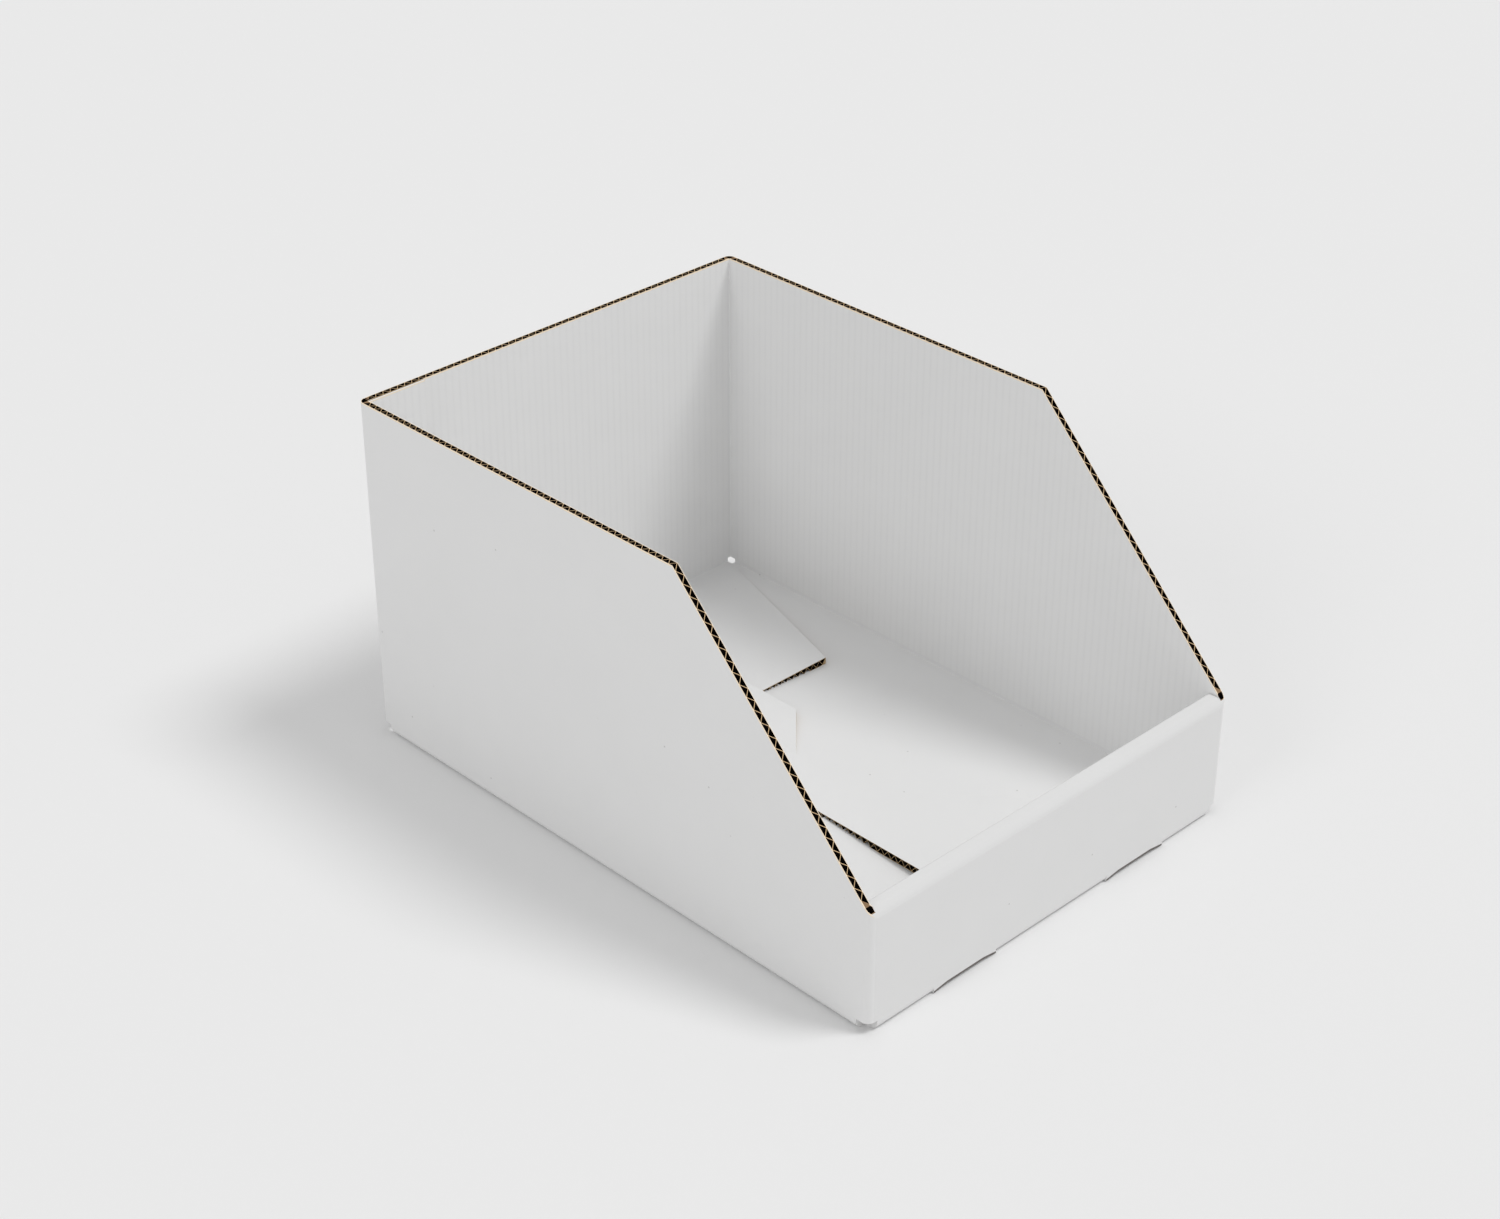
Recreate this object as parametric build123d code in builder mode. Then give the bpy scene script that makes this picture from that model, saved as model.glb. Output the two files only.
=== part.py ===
from build123d import *
from math import cos, radians, sin, sqrt, tan
import os

# Open-fronted display bin, folded from one blank of white-faced corrugated board.
# The front faces -Y, +Z is up, and the origin is on the ground under the middle of the bin.
# Sizes are in millimetres, outside the board unless a note says otherwise.

# Bin
width = 170.0
depth = 236.0
height = 129.0
front_height = 45.6
level_run = 152.0            # level top edge of a side wall, from the rear face to the slope
slope_end = 45.0             # degrees down the top fold of the front where the slopes run into it

# Board and its folds
board = 2.5
fold_inside = 0.3            # inside radius of a fold
fold_land = 2.0              # flat strip of each bottom fold that the bin stands on
flap_rise = 3.1              # degrees that each bottom flap stands up from the ground

# Open flutes along the cut edges
flute_pitch = 3.0            # or a little more, where that fills the edge
liner = 0.2                  # facing sheet on each side of the flutes
medium = 0.2                 # fluted sheet, measured along the cut edge
flute_depth = 4.0

# Bottom: two main flaps hook into each other, over and under two end flaps
main_hinge_inset = 5.0       # hinge of a main flap, from the front and rear faces
end_hinge_inset = 4.0        # hinge of an end flap, from the side faces
corner_cut = 4.0             # open corner between two hinges, up from the ground
hook_overlap = 19.6          # long half of a main flap, past the middle of the bin
hook_setback = 17.0          # short half of a main flap, short of the middle
hook_lap = 4.0               # of the slanted edges of the two hooks over each other
flap_corner = 6.0            # cut corner of a main flap
end_flap_reach = 83.2        # from the outer face of its wall to its cut end
end_flap_taper = 28.2        # how far the free side of an end flap slants in

# Rolled front
lip_gap = 1.1                # between the two boards of the front
lip_crease = 1.0             # outside radius of its second fold, which is creased hard
lip_side_gap = 0.3           # beside the rolled panel, to each side wall
lock_tab_width = 27.8
lock_tab_spacing = 82.6      # between the middles of the two lock tabs
lock_tab_slant = 3.5         # slant of each end of a tab
lock_slot_slant = 6.0        # slant of each end of its slot, under the front wall
lock_clearance = 0.4         # round a lock tab in its slot, and under the rolled panel
ground_clearance = 1.2       # under the lock tabs, and under the front wall beside them

# Glue tab of the left wall, pressed flat on the rear wall
glue_tab_width = 25.5        # from the outer face of the left wall
glue_tab_board = 1.0         # thickness once it is pressed
glue_tab_taper = 8.0         # slant of its lower end
seam = 0.4                   # between the cut end of the rear wall and the corner fold

# Worked out from the sizes above
fold_outside = fold_inside + board
side_face = width / 2
rear_face = depth / 2
slope_top = rear_face - level_run
lip_depth = 2 * board + lip_gap
lip_half = side_face - board - lip_side_gap
lip_fold = front_height - fold_outside
slope_foot_y = fold_outside * (1 - sin(radians(slope_end))) - rear_face
slope_foot_z = lip_fold + fold_outside * cos(radians(slope_end))
flap_start = fold_outside + fold_land
lock_slot_width = lock_tab_width + 2 * lock_clearance


def flute_mouths(length):
    """Triangular mouths of the flutes that fill a cut edge, centred on the sketch and along its x axis."""
    count = int(length / flute_pitch - 0.5)
    pitch = (length - medium) / (count + 0.5)
    half_base = (pitch - medium) / 2
    low = liner - board / 2
    tip = low + (board - 2 * liner) * (1 - medium / pitch)
    with GridLocations(pitch, 1, count, 1):
        with Locations((-pitch / 4, 0)):
            Polygon((-half_base, low), (half_base, low), (0, tip), align=None)
        with Locations((pitch / 4, 0)):
            Polygon((-half_base, -low), (0, -tip), (half_base, -low), align=None)


def ground_plane(inward, reach):
    """Plane on the ground at a wall's outer face: x along the wall, y inwards, z up."""
    inward = Vector(*inward)
    return Plane(origin=inward * -reach, x_dir=inward.cross(Vector(0, 0, 1)), z_dir=(0, 0, 1))


def bottom_fold(ground, hinge_half):
    """Rounded fold under a wall, with the flat strip that the bin stands on."""
    section = Plane(origin=ground.origin, x_dir=ground.y_dir, z_dir=ground.x_dir)
    with BuildPart() as fold:
        with BuildSketch(section):
            with BuildLine():
                centre = (fold_outside, fold_outside)
                outer = CenterArc(centre, fold_outside, 180, 90)
                inner = CenterArc(centre, fold_inside, 180, 90)
                Polyline(outer @ 1, (flap_start, 0), (flap_start, board), inner @ 1)
                Line(inner @ 0, outer @ 0)
            make_face()
        extrude(amount=hinge_half, both=True)
    return fold.part


def bottom_flap(ground, outline, open_ends):
    """Flat flap that rises from its fold. Its outline is points of (along the wall, in from its outer face),
    and the open ends are (from, to, in from the outer face) stretches of cut edge with open flutes."""
    start = ground.from_local_coords(Vector(0, flap_start, 0))
    lean = radians(flap_rise)
    normal = ground.z_dir * cos(lean) - ground.y_dir * sin(lean)
    under = Plane(origin=start, x_dir=ground.x_dir, z_dir=normal)

    def on_flap(reach):
        return (reach - flap_start) / cos(lean)

    with BuildPart() as flap:
        with BuildSketch(under):
            with BuildLine():
                Polyline([(along, on_flap(reach)) for along, reach in outline], close=True)
            make_face()
        extrude(amount=board)
        for first, last, reach in open_ends:
            middle = under.from_local_coords(Vector((first + last) / 2, on_flap(reach), board / 2))
            with BuildSketch(Plane(origin=middle, x_dir=under.x_dir, z_dir=under.y_dir)):
                flute_mouths(abs(last - first))
            extrude(amount=-flute_depth, mode=Mode.SUBTRACT)
    return flap.part


# Open flutes in the rims: the cells between the two facing sheets, kept to a band under the cut edge
with BuildPart() as rim_flutes:
    with BuildSketch():
        between = board - liner
        corner = fold_outside - medium
        RectangleRounded(width - 2 * liner, depth - 2 * liner, fold_outside - liner)
        RectangleRounded(width - 2 * between, depth - 2 * between, fold_inside + liner, mode=Mode.SUBTRACT)
        Rectangle(width - 2 * corner, depth, mode=Mode.SUBTRACT)
        Rectangle(width, depth - 2 * corner, mode=Mode.SUBTRACT)
        with Locations((0, rear_face - board / 2)):
            flute_mouths(width - 2 * fold_outside)
        for side in (-1, 1):
            with Locations(Location((side * (side_face - board / 2), 0), 90)):
                flute_mouths(depth - 2 * fold_outside)
    extrude(amount=height)
    with BuildSketch(Plane.YZ):
        Polygon(
            (rear_face, height),
            (rear_face, height - flute_depth),
            (slope_top, height - flute_depth),
            (slope_foot_y + liner, slope_foot_z - flute_depth),
            (slope_foot_y + liner, height),
            align=None,
        )
    extrude(amount=width, both=True, mode=Mode.INTERSECT)

# Walls: a ring of board with folded corners, sloped down to the top fold of the front
with BuildPart() as walls:
    with BuildSketch(Plane.XY.offset(fold_outside)):
        RectangleRounded(width, depth, fold_outside)
        RectangleRounded(width - 2 * board, depth - 2 * board, fold_inside, mode=Mode.SUBTRACT)
    extrude(amount=height - fold_outside)
    with BuildSketch(Plane.YZ):
        with BuildLine():
            centre = (fold_outside - rear_face, lip_fold)
            fold = CenterArc(centre, fold_outside, 90 + slope_end, 90 - slope_end)
            Polyline(fold @ 0, (slope_top, height), (-depth, height), (-depth, lip_fold), fold @ 1)
        make_face()
    extrude(amount=width, both=True, mode=Mode.SUBTRACT)
    # Open corners between the hinges of the bottom flaps
    with BuildSketch():
        with GridLocations(width, depth, 2, 2):
            Rectangle(2 * end_hinge_inset, 2 * main_hinge_inset)
    extrude(amount=corner_cut, mode=Mode.SUBTRACT)
    # The middle of the front stops where its top fold begins
    with BuildSketch(Plane.XY.offset(lip_fold)):
        with Locations((0, -rear_face)):
            Rectangle(2 * lip_half, 4 * board)
    extrude(amount=height, mode=Mode.SUBTRACT)
    add(rim_flutes.part, mode=Mode.SUBTRACT, clean=False)
    # Where the cut end of the rear wall meets the corner fold of the left wall
    with BuildSketch(Plane.XY):
        with Locations((fold_outside - side_face, rear_face)):
            Rectangle(seam, 2 * board, align=(Align.MIN, Align.CENTER))
    extrude(amount=height, mode=Mode.SUBTRACT, clean=False)

# Bottom flap of the left wall: long behind the middle, short before it, with a slanted hook between
left_ground = ground_plane((1, 0, 0), side_face)
main_half = rear_face - main_hinge_inset
long_reach = side_face + hook_overlap
short_reach = side_face - hook_setback
short_side = main_half - (short_reach - flap_start)
hook_shift = hook_lap / sqrt(2)
main_flap = bottom_flap(
    left_ground,
    [
        (-main_half, flap_start),
        (-main_half, long_reach - flap_corner),
        (flap_corner - main_half, long_reach),
        (hook_shift - hook_overlap, long_reach),
        (hook_setback + hook_shift, short_reach),
        (short_side, short_reach),
        (main_half, flap_start),
    ],
    [
        (flap_corner - main_half, hook_shift - hook_overlap, long_reach),
        (hook_setback + hook_shift, short_side, short_reach),
    ],
)

# Bottom flap of the rear wall: one side is glued under the main flap, the other tapers
rear_ground = ground_plane((0, -1, 0), rear_face)
end_half = side_face - end_hinge_inset
glued_side = end_half - (end_flap_reach - flap_start)
free_side = end_flap_taper - end_half
end_flap = bottom_flap(
    rear_ground,
    [
        (end_half, flap_start),
        (glued_side, end_flap_reach),
        (free_side, end_flap_reach),
        (-end_half, flap_start),
    ],
    [(free_side, glued_side, end_flap_reach)],
)

# Half of the bottom. The right and front flaps are the same half, turned round.
main_fold = bottom_fold(left_ground, main_half)
end_fold = bottom_fold(rear_ground, end_half)
with BuildPart() as half_bottom:
    add([main_fold, main_flap, end_fold, end_flap], clean=False)

# Rolled front: the board folds over twice and its inner panel drops to the bottom
with BuildPart() as rolled_front:
    panel_foot = board + lip_depth * tan(radians(flap_rise)) + lock_clearance
    with BuildSketch(Plane.YZ) as lip_section:
        with Locations((-rear_face, front_height)):
            Rectangle(lip_depth, fold_outside, align=(Align.MIN, Align.MAX))
        top_corners = lip_section.vertices().group_by(Axis.Y)[-1].sort_by(Axis.X)
        fillet(top_corners[0], fold_outside)
        fillet(lip_section.vertices().group_by(Axis.Y)[-1].sort_by(Axis.X)[-1], lip_crease)
        with Locations((-rear_face + board, lip_fold)):
            Rectangle(lip_gap, fold_inside, align=(Align.MIN, Align.MIN), mode=Mode.SUBTRACT)
        with Locations((-rear_face + board + lip_gap, lip_fold)):
            Rectangle(board, lip_fold - panel_foot, align=(Align.MIN, Align.MAX))
    extrude(amount=lip_half, both=True)
    # Lock tabs under the inner panel
    with BuildSketch(Plane.XZ.offset(rear_face - lip_depth)):
        with GridLocations(lock_tab_spacing, 1, 2, 1):
            half_root = lock_tab_width / 2
            half_tip = half_root - lock_tab_slant
            Polygon(
                (-half_root, panel_foot),
                (-half_tip, ground_clearance),
                (half_tip, ground_clearance),
                (half_root, panel_foot),
                align=None,
            )
    extrude(amount=board)

# Glue tab of the left wall, pressed flat on the rear wall
with BuildPart() as glue_tab:
    with BuildSketch(Plane.XZ.offset(board - rear_face)):
        Polygon(
            (board - side_face, corner_cut),
            (glue_tab_width - side_face, corner_cut + glue_tab_taper),
            (glue_tab_width - side_face, height),
            (board - side_face, height),
            align=None,
        )
    extrude(amount=glue_tab_board)

# The whole blank, folded and locked
with BuildPart() as display_bin:
    add([half_bottom.part, half_bottom.part.rotate(Axis.Z, 180)], clean=False)
    # Slots in the front fold for the lock tabs, with the front wall left standing before them
    with BuildSketch(Plane.XY):
        with Locations((0, -rear_face)):
            with GridLocations(lock_tab_spacing, 1, 2, 1):
                Rectangle(lock_slot_width, 2 * (lip_depth + lock_clearance))
    extrude(amount=fold_outside, mode=Mode.SUBTRACT, clean=False)
    with BuildSketch(Plane.XZ.offset(rear_face)):
        with GridLocations(lock_tab_spacing, 1, 2, 1):
            half_slot = lock_slot_width / 2
            half_level = half_slot - lock_slot_slant
            Polygon(
                (-half_slot, fold_outside),
                (-half_slot, lock_clearance),
                (-half_level, ground_clearance),
                (half_level, ground_clearance),
                (half_slot, lock_clearance),
                (half_slot, fold_outside),
                align=None,
            )
    extrude(amount=-board, clean=False)
    add([walls.part, rolled_front.part, glue_tab.part], clean=False)

os.makedirs("parts", exist_ok=True)
display_bin.part.label = "display_bin"
export_step(display_bin.part, "parts/display_bin.step")
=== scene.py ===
import math
import bpy
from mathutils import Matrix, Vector


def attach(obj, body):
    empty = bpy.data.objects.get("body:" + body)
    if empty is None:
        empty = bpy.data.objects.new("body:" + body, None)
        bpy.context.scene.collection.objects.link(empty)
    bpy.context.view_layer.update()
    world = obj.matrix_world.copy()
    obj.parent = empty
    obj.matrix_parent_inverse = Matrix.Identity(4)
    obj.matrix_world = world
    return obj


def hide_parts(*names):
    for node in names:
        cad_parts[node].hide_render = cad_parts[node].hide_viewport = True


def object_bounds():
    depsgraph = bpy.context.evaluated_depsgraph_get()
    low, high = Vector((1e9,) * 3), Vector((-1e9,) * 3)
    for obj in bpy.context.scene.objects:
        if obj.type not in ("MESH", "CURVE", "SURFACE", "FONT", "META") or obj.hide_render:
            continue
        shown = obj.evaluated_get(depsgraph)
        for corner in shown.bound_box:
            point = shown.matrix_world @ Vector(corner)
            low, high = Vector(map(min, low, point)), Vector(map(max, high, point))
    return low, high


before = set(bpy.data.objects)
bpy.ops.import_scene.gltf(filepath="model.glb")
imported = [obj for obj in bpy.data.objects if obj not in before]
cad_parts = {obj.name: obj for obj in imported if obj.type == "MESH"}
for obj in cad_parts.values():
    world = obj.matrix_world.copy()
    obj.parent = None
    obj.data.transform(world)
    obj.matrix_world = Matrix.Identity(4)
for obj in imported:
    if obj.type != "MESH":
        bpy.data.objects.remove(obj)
cadLow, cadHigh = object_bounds()
print("frame loaded", [round(side, 4) for side in cadHigh - cadLow])


# Shader maths: a wrapped socket, so that materials read as plain expressions
class Wire:
    def __init__(self, tree, socket=None):
        self.tree = tree
        self.socket = socket

    def node(self, kind, settings=None, sockets=None, out=0):
        made = self.tree.nodes.new(kind)
        for name, value in (settings or {}).items():
            if name == "stops":
                fillRamp(made.color_ramp, value)
            else:
                setattr(made, name, value)
        for name, value in (sockets or {}).items():
            if isinstance(value, Wire):
                self.tree.links.new(value.socket, made.inputs[name])
            else:
                made.inputs[name].default_value = value
        return Wire(self.tree, made.outputs[out])

    def math(self, operation, *values):
        return self.node("ShaderNodeMath", {"operation": operation}, dict(enumerate(values)))

    def __add__(self, other):
        return self.math("ADD", self, other)

    def __radd__(self, other):
        return self.math("ADD", other, self)

    def __sub__(self, other):
        return self.math("SUBTRACT", self, other)

    def __rsub__(self, other):
        return self.math("SUBTRACT", other, self)

    def __mul__(self, other):
        return self.math("MULTIPLY", self, other)

    def __rmul__(self, other):
        return self.math("MULTIPLY", other, self)

    def __gt__(self, other):
        return self.math("GREATER_THAN", self, other)

    def __lt__(self, other):
        return self.math("LESS_THAN", self, other)

    def __abs__(self):
        return self.math("ABSOLUTE", self)


def fillRamp(ramp, stops):
    while len(ramp.elements) < len(stops):
        ramp.elements.new(0.5)
    for element, (place, colour) in zip(ramp.elements, stops):
        element.position = place
        element.color = colour


def grey(level):
    return (level, level, level, 1)


def newMaterial(name, roughness, specular=0.25):
    made = bpy.data.materials.new(name)
    made.use_nodes = True
    shader = made.node_tree.nodes["Principled BSDF"]
    shader.inputs["Roughness"].default_value = roughness
    shader.inputs["Specular IOR Level"].default_value = specular
    return made, shader, Wire(made.node_tree)


def plug(wire, shader, name):
    wire.tree.links.new(wire.socket, shader.inputs[name])


def mixColour(wire, factor, first, second, blend="MIX"):
    return wire.node(
        "ShaderNodeMix",
        {"data_type": "RGBA", "blend_type": blend},
        {0: factor, 6: first, 7: second},
        out=2,
    )


def clamp(wire, value):
    return wire.math("MINIMUM", wire.math("MAXIMUM", value, 0), 1)


def noise(wire, place, scale, detail):
    return wire.node("ShaderNodeTexNoise", sockets={"Vector": place, "Scale": scale, "Detail": detail})


def parts(wire, vector):
    split = wire.node("ShaderNodeSeparateXYZ", sockets={0: vector})
    return [Wire(wire.tree, socket) for socket in split.socket.node.outputs]


# Sizes of the folded bin that its finishes go by
binPlan = {
    "board": 0.0025,
    "glueTab": 0.001,
    "foldOutside": 0.0028,
    "cornerTop": 0.004,
    "flapStart": 0.0048,
    "flapRise": math.radians(3.1),
    "sideFlapEnds": (0.1046, 0.068),
    "endFlapEnds": (0.0832,),
    "lipHalf": 0.0822,
    "lipFold": 0.0428,
    "lipDepth": 0.0061,
    "slopeTop": -0.034,
    "slopeFoot": (-0.11718, 0.04478),
    "tolerance": 0.0001,
    "rimTolerance": 0.001,
}
footY, footZ = binPlan["slopeFoot"]
rimSlope = (cadHigh.z - footZ) / (binPlan["slopeTop"] - footY)


# White liner paper: plain with a few specks; on the inner walls a lighter copy as painted light, lined with
# painted shade along the flutes, with painted shade over the roll of the front, and cream where it was cut
# along the rim
linerLook = {
    "roughness": 0.72,
    "white": (0.81, 0.81, 0.808, 1),
    "innerLitWhite": (0.842, 0.842, 0.84, 1),
    "rimCream": (0.93, 0.79, 0.61, 1),
    "rimRun": 0.0004,
    "rollTopShade": 0.092,
    "curveShade": 0.054,
    "curveRun": 0.0014,
    "cloudShade": 0.03,
    "speck": (0.42, 0.41, 0.40, 1),
    "flutePitch": 0.003,
    "line": grey(0.2),
    "lineShade": 0.065,
    "lineDepth": 0.000008,
    "grainDepth": 0.000008,
    "cloudScale": 42,
    "fibreScale": 1900,
    "unevenScale": 160,
    "speckScale": 130,
    "speckSize": 0.045,
    "speckChance": 0.56,
    "speckShade": 0.5,
}


# Outer face of the front wall, greyed with painted shade, and with a painted shadow band at its foot over
# the two lock slots
frontLook = {
    "spacing": 0.0413,
    "halfWidth": 0.0143,
    "level": 0.0083,
    "slant": 0.133,
    "height": 0.0019,
    "brown": (0.07, 0.055, 0.045, 1),
    "gapShadowStrength": 0.9,
    "shade": 0.044,
}


def linerMaterial(name, kind):
    made, shader, wire = newMaterial(name, linerLook["roughness"])
    place = wire.node("ShaderNodeTexCoord", out=3)
    cloud = noise(wire, place, linerLook["cloudScale"], 3)
    # The inner walls take a lighter copy of the white as painted light
    white = linerLook["innerLitWhite" if kind == "lined" else "white"]
    tint = mixColour(wire, cloud * linerLook["cloudShade"], white, grey(0))
    relief = noise(wire, place, linerLook["fibreScale"], 2) * linerLook["grainDepth"]
    spotX, spotY, spotZ = parts(wire, place)
    if kind == "lined":
        # The flutes run up a wall: painted shade lines over their washboard ripples, beside a small bump,
        # are spaced along x on the rear wall and along y on a side wall
        leanX, leanY, leanZ = parts(wire, wire.node("ShaderNodeNewGeometry", out=3))
        sideways = abs(leanX) > abs(leanY)
        across = sideways * spotY + (1 - sideways) * spotX
        wave = wire.math("SINE", across * (2 * math.pi / linerLook["flutePitch"])) * 0.5 + 0.5
        line = wire.math("POWER", wave, 3) * noise(wire, place, linerLook["unevenScale"], 2)
        tint = mixColour(wire, line * linerLook["lineShade"], tint, linerLook["line"])
        relief = relief + wave * linerLook["lineDepth"]
    elif kind == "rolled":
        # Painted shade over the roll of the front lip, growing towards its top and over its front curve,
        # tones down its highlight
        bend = clamp(wire, (spotZ - binPlan["lipFold"]) * (1 / binPlan["foldOutside"]))
        curve = clamp(wire, (cadLow.y + binPlan["foldOutside"] - spotY) * (1 / linerLook["curveRun"]))
        shade = bend * linerLook["rollTopShade"] + curve * linerLook["curveShade"]
        tint = mixColour(wire, shade, tint, grey(0))
    else:
        scale = linerLook["speckScale"]
        spots = wire.node("ShaderNodeTexVoronoi", {"feature": "F1"}, {"Vector": place, "Scale": scale})
        chosen = noise(wire, place, scale * 0.6, 0) > linerLook["speckChance"]
        speck = (linerLook["speckSize"] > spots) * chosen
        tint = mixColour(wire, speck * linerLook["speckShade"], tint, linerLook["speck"])
    if kind == "front":
        # The whole front gets painted shade, and over each lock slot a dark brown band above the foot is
        # painted shadow for the gap beneath it
        fromMiddle = abs(abs(spotX) - frontLook["spacing"])
        slant = wire.math("MAXIMUM", fromMiddle - frontLook["level"], 0) * frontLook["slant"]
        crushed = (spotZ < frontLook["height"] - slant) * (fromMiddle < frontLook["halfWidth"])
        tint = mixColour(wire, frontLook["shade"], tint, grey(0))
        tint = mixColour(wire, crushed * frontLook["gapShadowStrength"], tint, frontLook["brown"])
    if kind in ("plain", "lined"):
        rim = wire.math("MINIMUM", (spotY - footY) * rimSlope + footZ, cadHigh.z)
        tint = mixColour(wire, spotZ > rim - linerLook["rimRun"], tint, linerLook["rimCream"])
    plug(tint, shader, "Base Color")
    bump = wire.node("ShaderNodeBump", sockets={"Height": relief, "Distance": 1.0, "Strength": 1.0})
    plug(bump, shader, "Normal")
    print("material", name)
    return made


# Cut board: cream edges of the two liners, brown fluted sheet between them, and painted shade, near black,
# inside the open flutes
edgeLook = {
    "cutRoughness": 0.85,
    "roughness": 0.9,
    "cream": (0.93, 0.80, 0.63, 1),
    "sheet": (0.80, 0.57, 0.33, 1),
    "tan": (0.60, 0.41, 0.22, 1),
    "flapSheet": (0.62, 0.45, 0.26, 1),
    "brown": (0.28, 0.19, 0.10, 1),
    # Near-black painted shade for the inside of the open flutes; it also darkens the pressed tab's brown
    "inside": (0.008, 0.004, 0.002, 1),
    "pressed": (0.26, 0.165, 0.09, 1),
    "pressedRun": 0.0004,
    "foldEnd": (0.76, 0.755, 0.745, 1),
    "foldShade": grey(0.7),
    "insideShade": grey(0.004),
    "cornerRun": 0.0015,
    "creamBand": 0.0003,
    "fibreScale": 2600,
}


def cutMaterial():
    made, shader, wire = newMaterial("cutBoard", edgeLook["cutRoughness"])
    place = wire.node("ShaderNodeTexCoord", out=3)
    fibre = noise(wire, place, edgeLook["fibreScale"], 3)
    fold = binPlan["foldOutside"]
    spotX, spotY, spotZ = parts(wire, place)
    besideX = abs(spotX) - (cadHigh.x - fold)
    besideY = abs(spotY) - (cadHigh.y - fold)
    roundX = wire.math("MAXIMUM", besideX, 0)
    roundY = wire.math("MAXIMUM", besideY, 0)
    flat = wire.math("MINIMUM", wire.math("MAXIMUM", besideX, besideY), 0)
    depth = fold - (wire.math("SQRT", roundX * roundX + roundY * roundY) + flat)
    inLiner = abs(depth - binPlan["board"] / 2) > binPlan["board"] / 2 - edgeLook["creamBand"]
    # Beside the corner folds the half flutes get painted shade in the dark pressed-board brown
    cornerShade = wire.math("MINIMUM", besideX, besideY) > -edgeLook["cornerRun"]
    sheet = mixColour(wire, fibre, edgeLook["sheet"], edgeLook["tan"])
    sheet = mixColour(wire, cornerShade, sheet, edgeLook["pressed"])
    plug(mixColour(wire, inLiner, sheet, edgeLook["cream"]), shader, "Base Color")
    print("material cutBoard")
    return made


def tabMaterial():
    made, shader, wire = newMaterial("pressedBoard", edgeLook["roughness"])
    place = wire.node("ShaderNodeTexCoord", out=3)
    fibre = noise(wire, place, edgeLook["fibreScale"], 2)
    spotX, spotY, spotZ = parts(wire, place)
    # Of the crushed tab only the sheet against the rear wall shows brown
    crushed = cadHigh.y - spotY < binPlan["board"] + edgeLook["pressedRun"]
    brown = mixColour(wire, fibre, edgeLook["flapSheet"], edgeLook["inside"])
    plug(mixColour(wire, crushed, edgeLook["foldEnd"], brown), shader, "Base Color")
    print("material pressedBoard")
    return made


def edgeMaterial(name, first, second):
    made, shader, wire = newMaterial(name, edgeLook["roughness"], specular=0)
    place = wire.node("ShaderNodeTexCoord", out=3)
    fibre = noise(wire, place, edgeLook["fibreScale"], 2)
    plug(mixColour(wire, fibre, first, second), shader, "Base Color")
    print("material", name)
    return made


# The folded bin
def wallDepth(point):
    fold = binPlan["foldOutside"]
    besideX = abs(point.x) - (cadHigh.x - fold)
    besideY = abs(point.y) - (cadHigh.y - fold)
    reach = math.hypot(max(besideX, 0), max(besideY, 0)) + min(max(besideX, besideY), 0)
    return fold - reach


def rimHeight(y):
    return min(cadHigh.z, footZ + (y - footY) * rimSlope)


def flapFinish(point, normal):
    rise = binPlan["flapRise"]
    tolerance = binPlan["tolerance"]
    for inward, reach, ends in (
        (Vector((1, 0, 0)), cadHigh.x, binPlan["sideFlapEnds"]),
        (Vector((-1, 0, 0)), cadHigh.x, binPlan["sideFlapEnds"]),
        (Vector((0, 1, 0)), cadHigh.y, binPlan["endFlapEnds"]),
        (Vector((0, -1, 0)), cadHigh.y, binPlan["endFlapEnds"]),
    ):
        up = Vector((0, 0, math.cos(rise))) - inward * math.sin(rise)
        along = inward.dot(point) + reach
        height = point.z * math.cos(rise) - (along - binPlan["flapStart"]) * math.sin(rise)
        if abs(normal.dot(up)) > 0.9995 and min(abs(height), abs(height - binPlan["board"])) < tolerance:
            return "outer"
        if abs(normal.dot(inward)) > 0.99 and min(abs(along - end) for end in ends) < 2 * tolerance:
            return "flapEdge"
    return "flute" if abs(normal.z) > 0.1 or abs(normal.x * normal.y) < 0.1 else "flapEdge"


def faceFinish(point, normal):
    depth = wallDepth(point)
    board = binPlan["board"]
    tolerance = binPlan["tolerance"]
    fromFront = point.y - cadLow.y
    if fromFront < tolerance and normal.y < -0.99:
        return "front"
    if fromFront < binPlan["lipDepth"] + tolerance and abs(point.x) < binPlan["lipHalf"] + tolerance:
        if point.z > binPlan["foldOutside"] or abs(normal.y) > 0.9:
            if abs(normal.x) > 0.5:
                return "foldEnd"
            return "roll" if point.z > binPlan["lipFold"] else "outer"
    if point.y < footY and normal.z > 0.05:
        return "roll"
    if point.z < binPlan["cornerTop"] + tolerance and depth < binPlan["flapStart"] + tolerance:
        onSide = abs(point.x) - cadHigh.x > abs(point.y) - cadHigh.y
        return "outer" if abs(normal.y if onSide else normal.x) < 0.4 else "foldEnd"
    if depth > board + binPlan["glueTab"] + tolerance:
        return flapFinish(point, normal)
    if abs(normal.z) < 0.05:
        if depth < tolerance:
            return "outer"
        if min(abs(depth - board), abs(depth - board - binPlan["glueTab"])) < tolerance:
            return "inner"
        return "pressed" if depth > board else "flute"
    if depth > board:
        return "pressed"
    return "cut" if abs(point.z - rimHeight(point.y)) < binPlan["rimTolerance"] else "flute"


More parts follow.
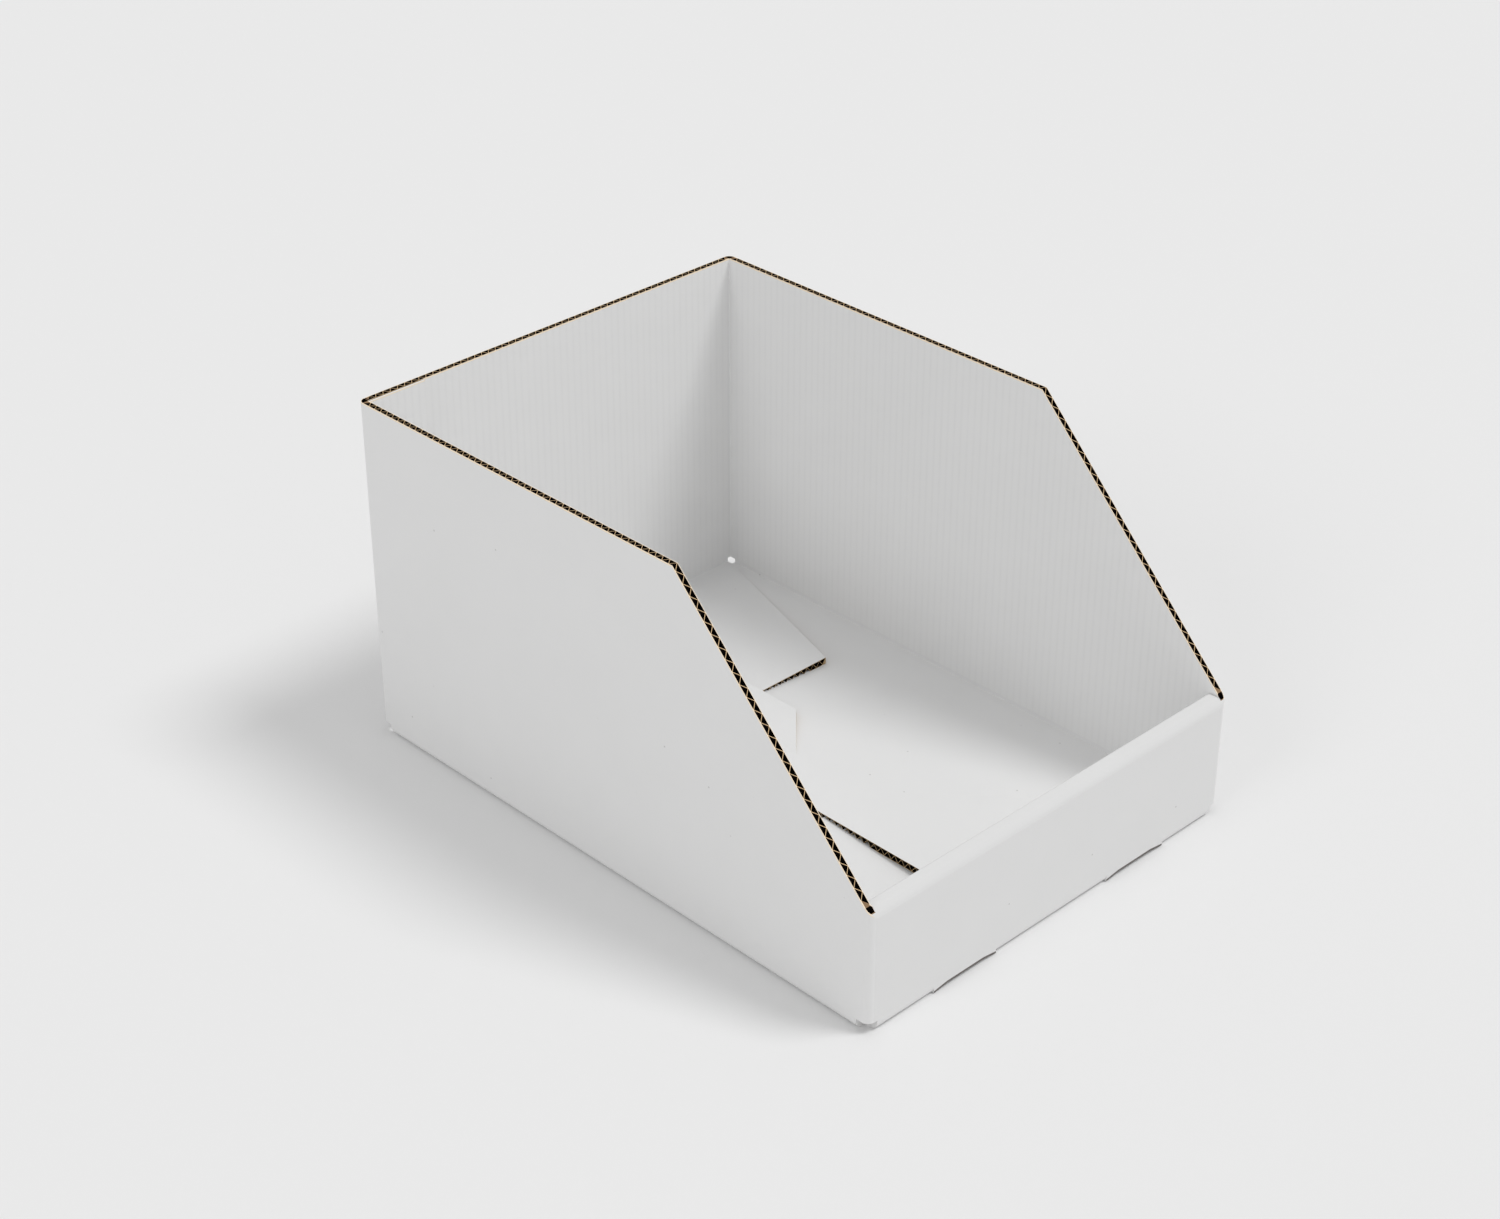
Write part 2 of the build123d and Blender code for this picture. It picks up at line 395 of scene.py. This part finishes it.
def dressBin():
    bpy.ops.object.select_all(action="DESELECT")
    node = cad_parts["display_bin"]
    node.select_set(True)
    bpy.context.view_layer.objects.active = node
    bpy.ops.object.duplicate()
    made = bpy.context.object
    made.name = "displayBin"
    finishes = {
        "outer": linerMaterial("outerLiner", "plain"),
        "inner": linerMaterial("innerLiner", "lined"),
        "cut": cutMaterial(),
        "flapEdge": edgeMaterial("cutFlap", edgeLook["flapSheet"], edgeLook["brown"]),
        "pressed": tabMaterial(),
        "foldEnd": edgeMaterial("foldEnd", edgeLook["foldEnd"], edgeLook["foldShade"]),
        "roll": linerMaterial("rolledLiner", "rolled"),
        "front": linerMaterial("frontLiner", "front"),
        # The open flutes are painted near black as shade
        "flute": edgeMaterial("openFlute", edgeLook["inside"], edgeLook["insideShade"]),
    }
    made.data.materials.clear()
    for finish in finishes.values():
        made.data.materials.append(finish)
    slots = list(finishes)
    counts = dict.fromkeys(slots, 0)
    for face in made.data.polygons:
        finish = faceFinish(face.center, face.normal)
        face.material_index = slots.index(finish)
        counts[finish] += 1
    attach(made, "root")
    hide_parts("display_bin")
    print("display bin dressed", counts)
    return made


# Floor, light and camera
studio = {
    "floorSize": 12,
    "floor": grey(0.8),
    "floorRoughness": 0.9,
    "worldStrength": 0.637,
    "key": {"azimuth": 310, "elevation": 60, "angle": 20, "strength": 1.183},
    "fill": {"azimuth": 180, "elevation": 35, "angle": 24, "strength": 0.32},
}


def addSun(name):
    sun = studio[name]
    lamp = bpy.data.lights.new(name, "SUN")
    lamp.angle = math.radians(sun["angle"])
    lamp.energy = sun["strength"]
    holder = bpy.data.objects.new(name, lamp)
    bpy.context.scene.collection.objects.link(holder)
    turn = math.radians(sun["azimuth"])
    lift = math.radians(sun["elevation"])
    towards = Vector((math.cos(lift) * math.cos(turn), math.cos(lift) * math.sin(turn), math.sin(lift)))
    holder.rotation_euler = towards.to_track_quat("Z", "Y").to_euler()


def setStudio():
    bpy.ops.object.select_all(action="DESELECT")
    bpy.ops.mesh.primitive_plane_add(size=studio["floorSize"])
    floor = bpy.context.object
    floor.name = "studioFloor"
    made, shader, wire = newMaterial("studioFloor", studio["floorRoughness"])
    shader.inputs["Base Color"].default_value = studio["floor"]
    floor.data.materials.append(made)
    world = bpy.data.worlds.new("studioWorld")
    world.use_nodes = True
    world.node_tree.nodes["Background"].inputs["Color"].default_value = grey(1)
    world.node_tree.nodes["Background"].inputs["Strength"].default_value = studio["worldStrength"]
    bpy.context.scene.world = world
    for name in ("key", "fill"):
        addSun(name)
    print("studio set")


view = {
    "place": (-0.571181, -0.565963, 0.544449),
    "azimuth": -44.265,
    "elevation": 30.865,
    "lens": 67.452,
    "sensor": 36,
}


def setCamera():
    data = bpy.data.cameras.new("photoCamera")
    data.lens = view["lens"]
    data.sensor_width = view["sensor"]
    data.sensor_fit = "HORIZONTAL"
    holder = bpy.data.objects.new("photoCamera", data)
    bpy.context.scene.collection.objects.link(holder)
    holder.location = view["place"]
    holder.rotation_euler = (math.radians(90 - view["elevation"]), 0, math.radians(view["azimuth"]))
    bpy.context.scene.camera = holder
    print("camera set")


dressBin()
setStudio()
setCamera()
bpy.context.scene.view_settings.view_transform = "Standard"
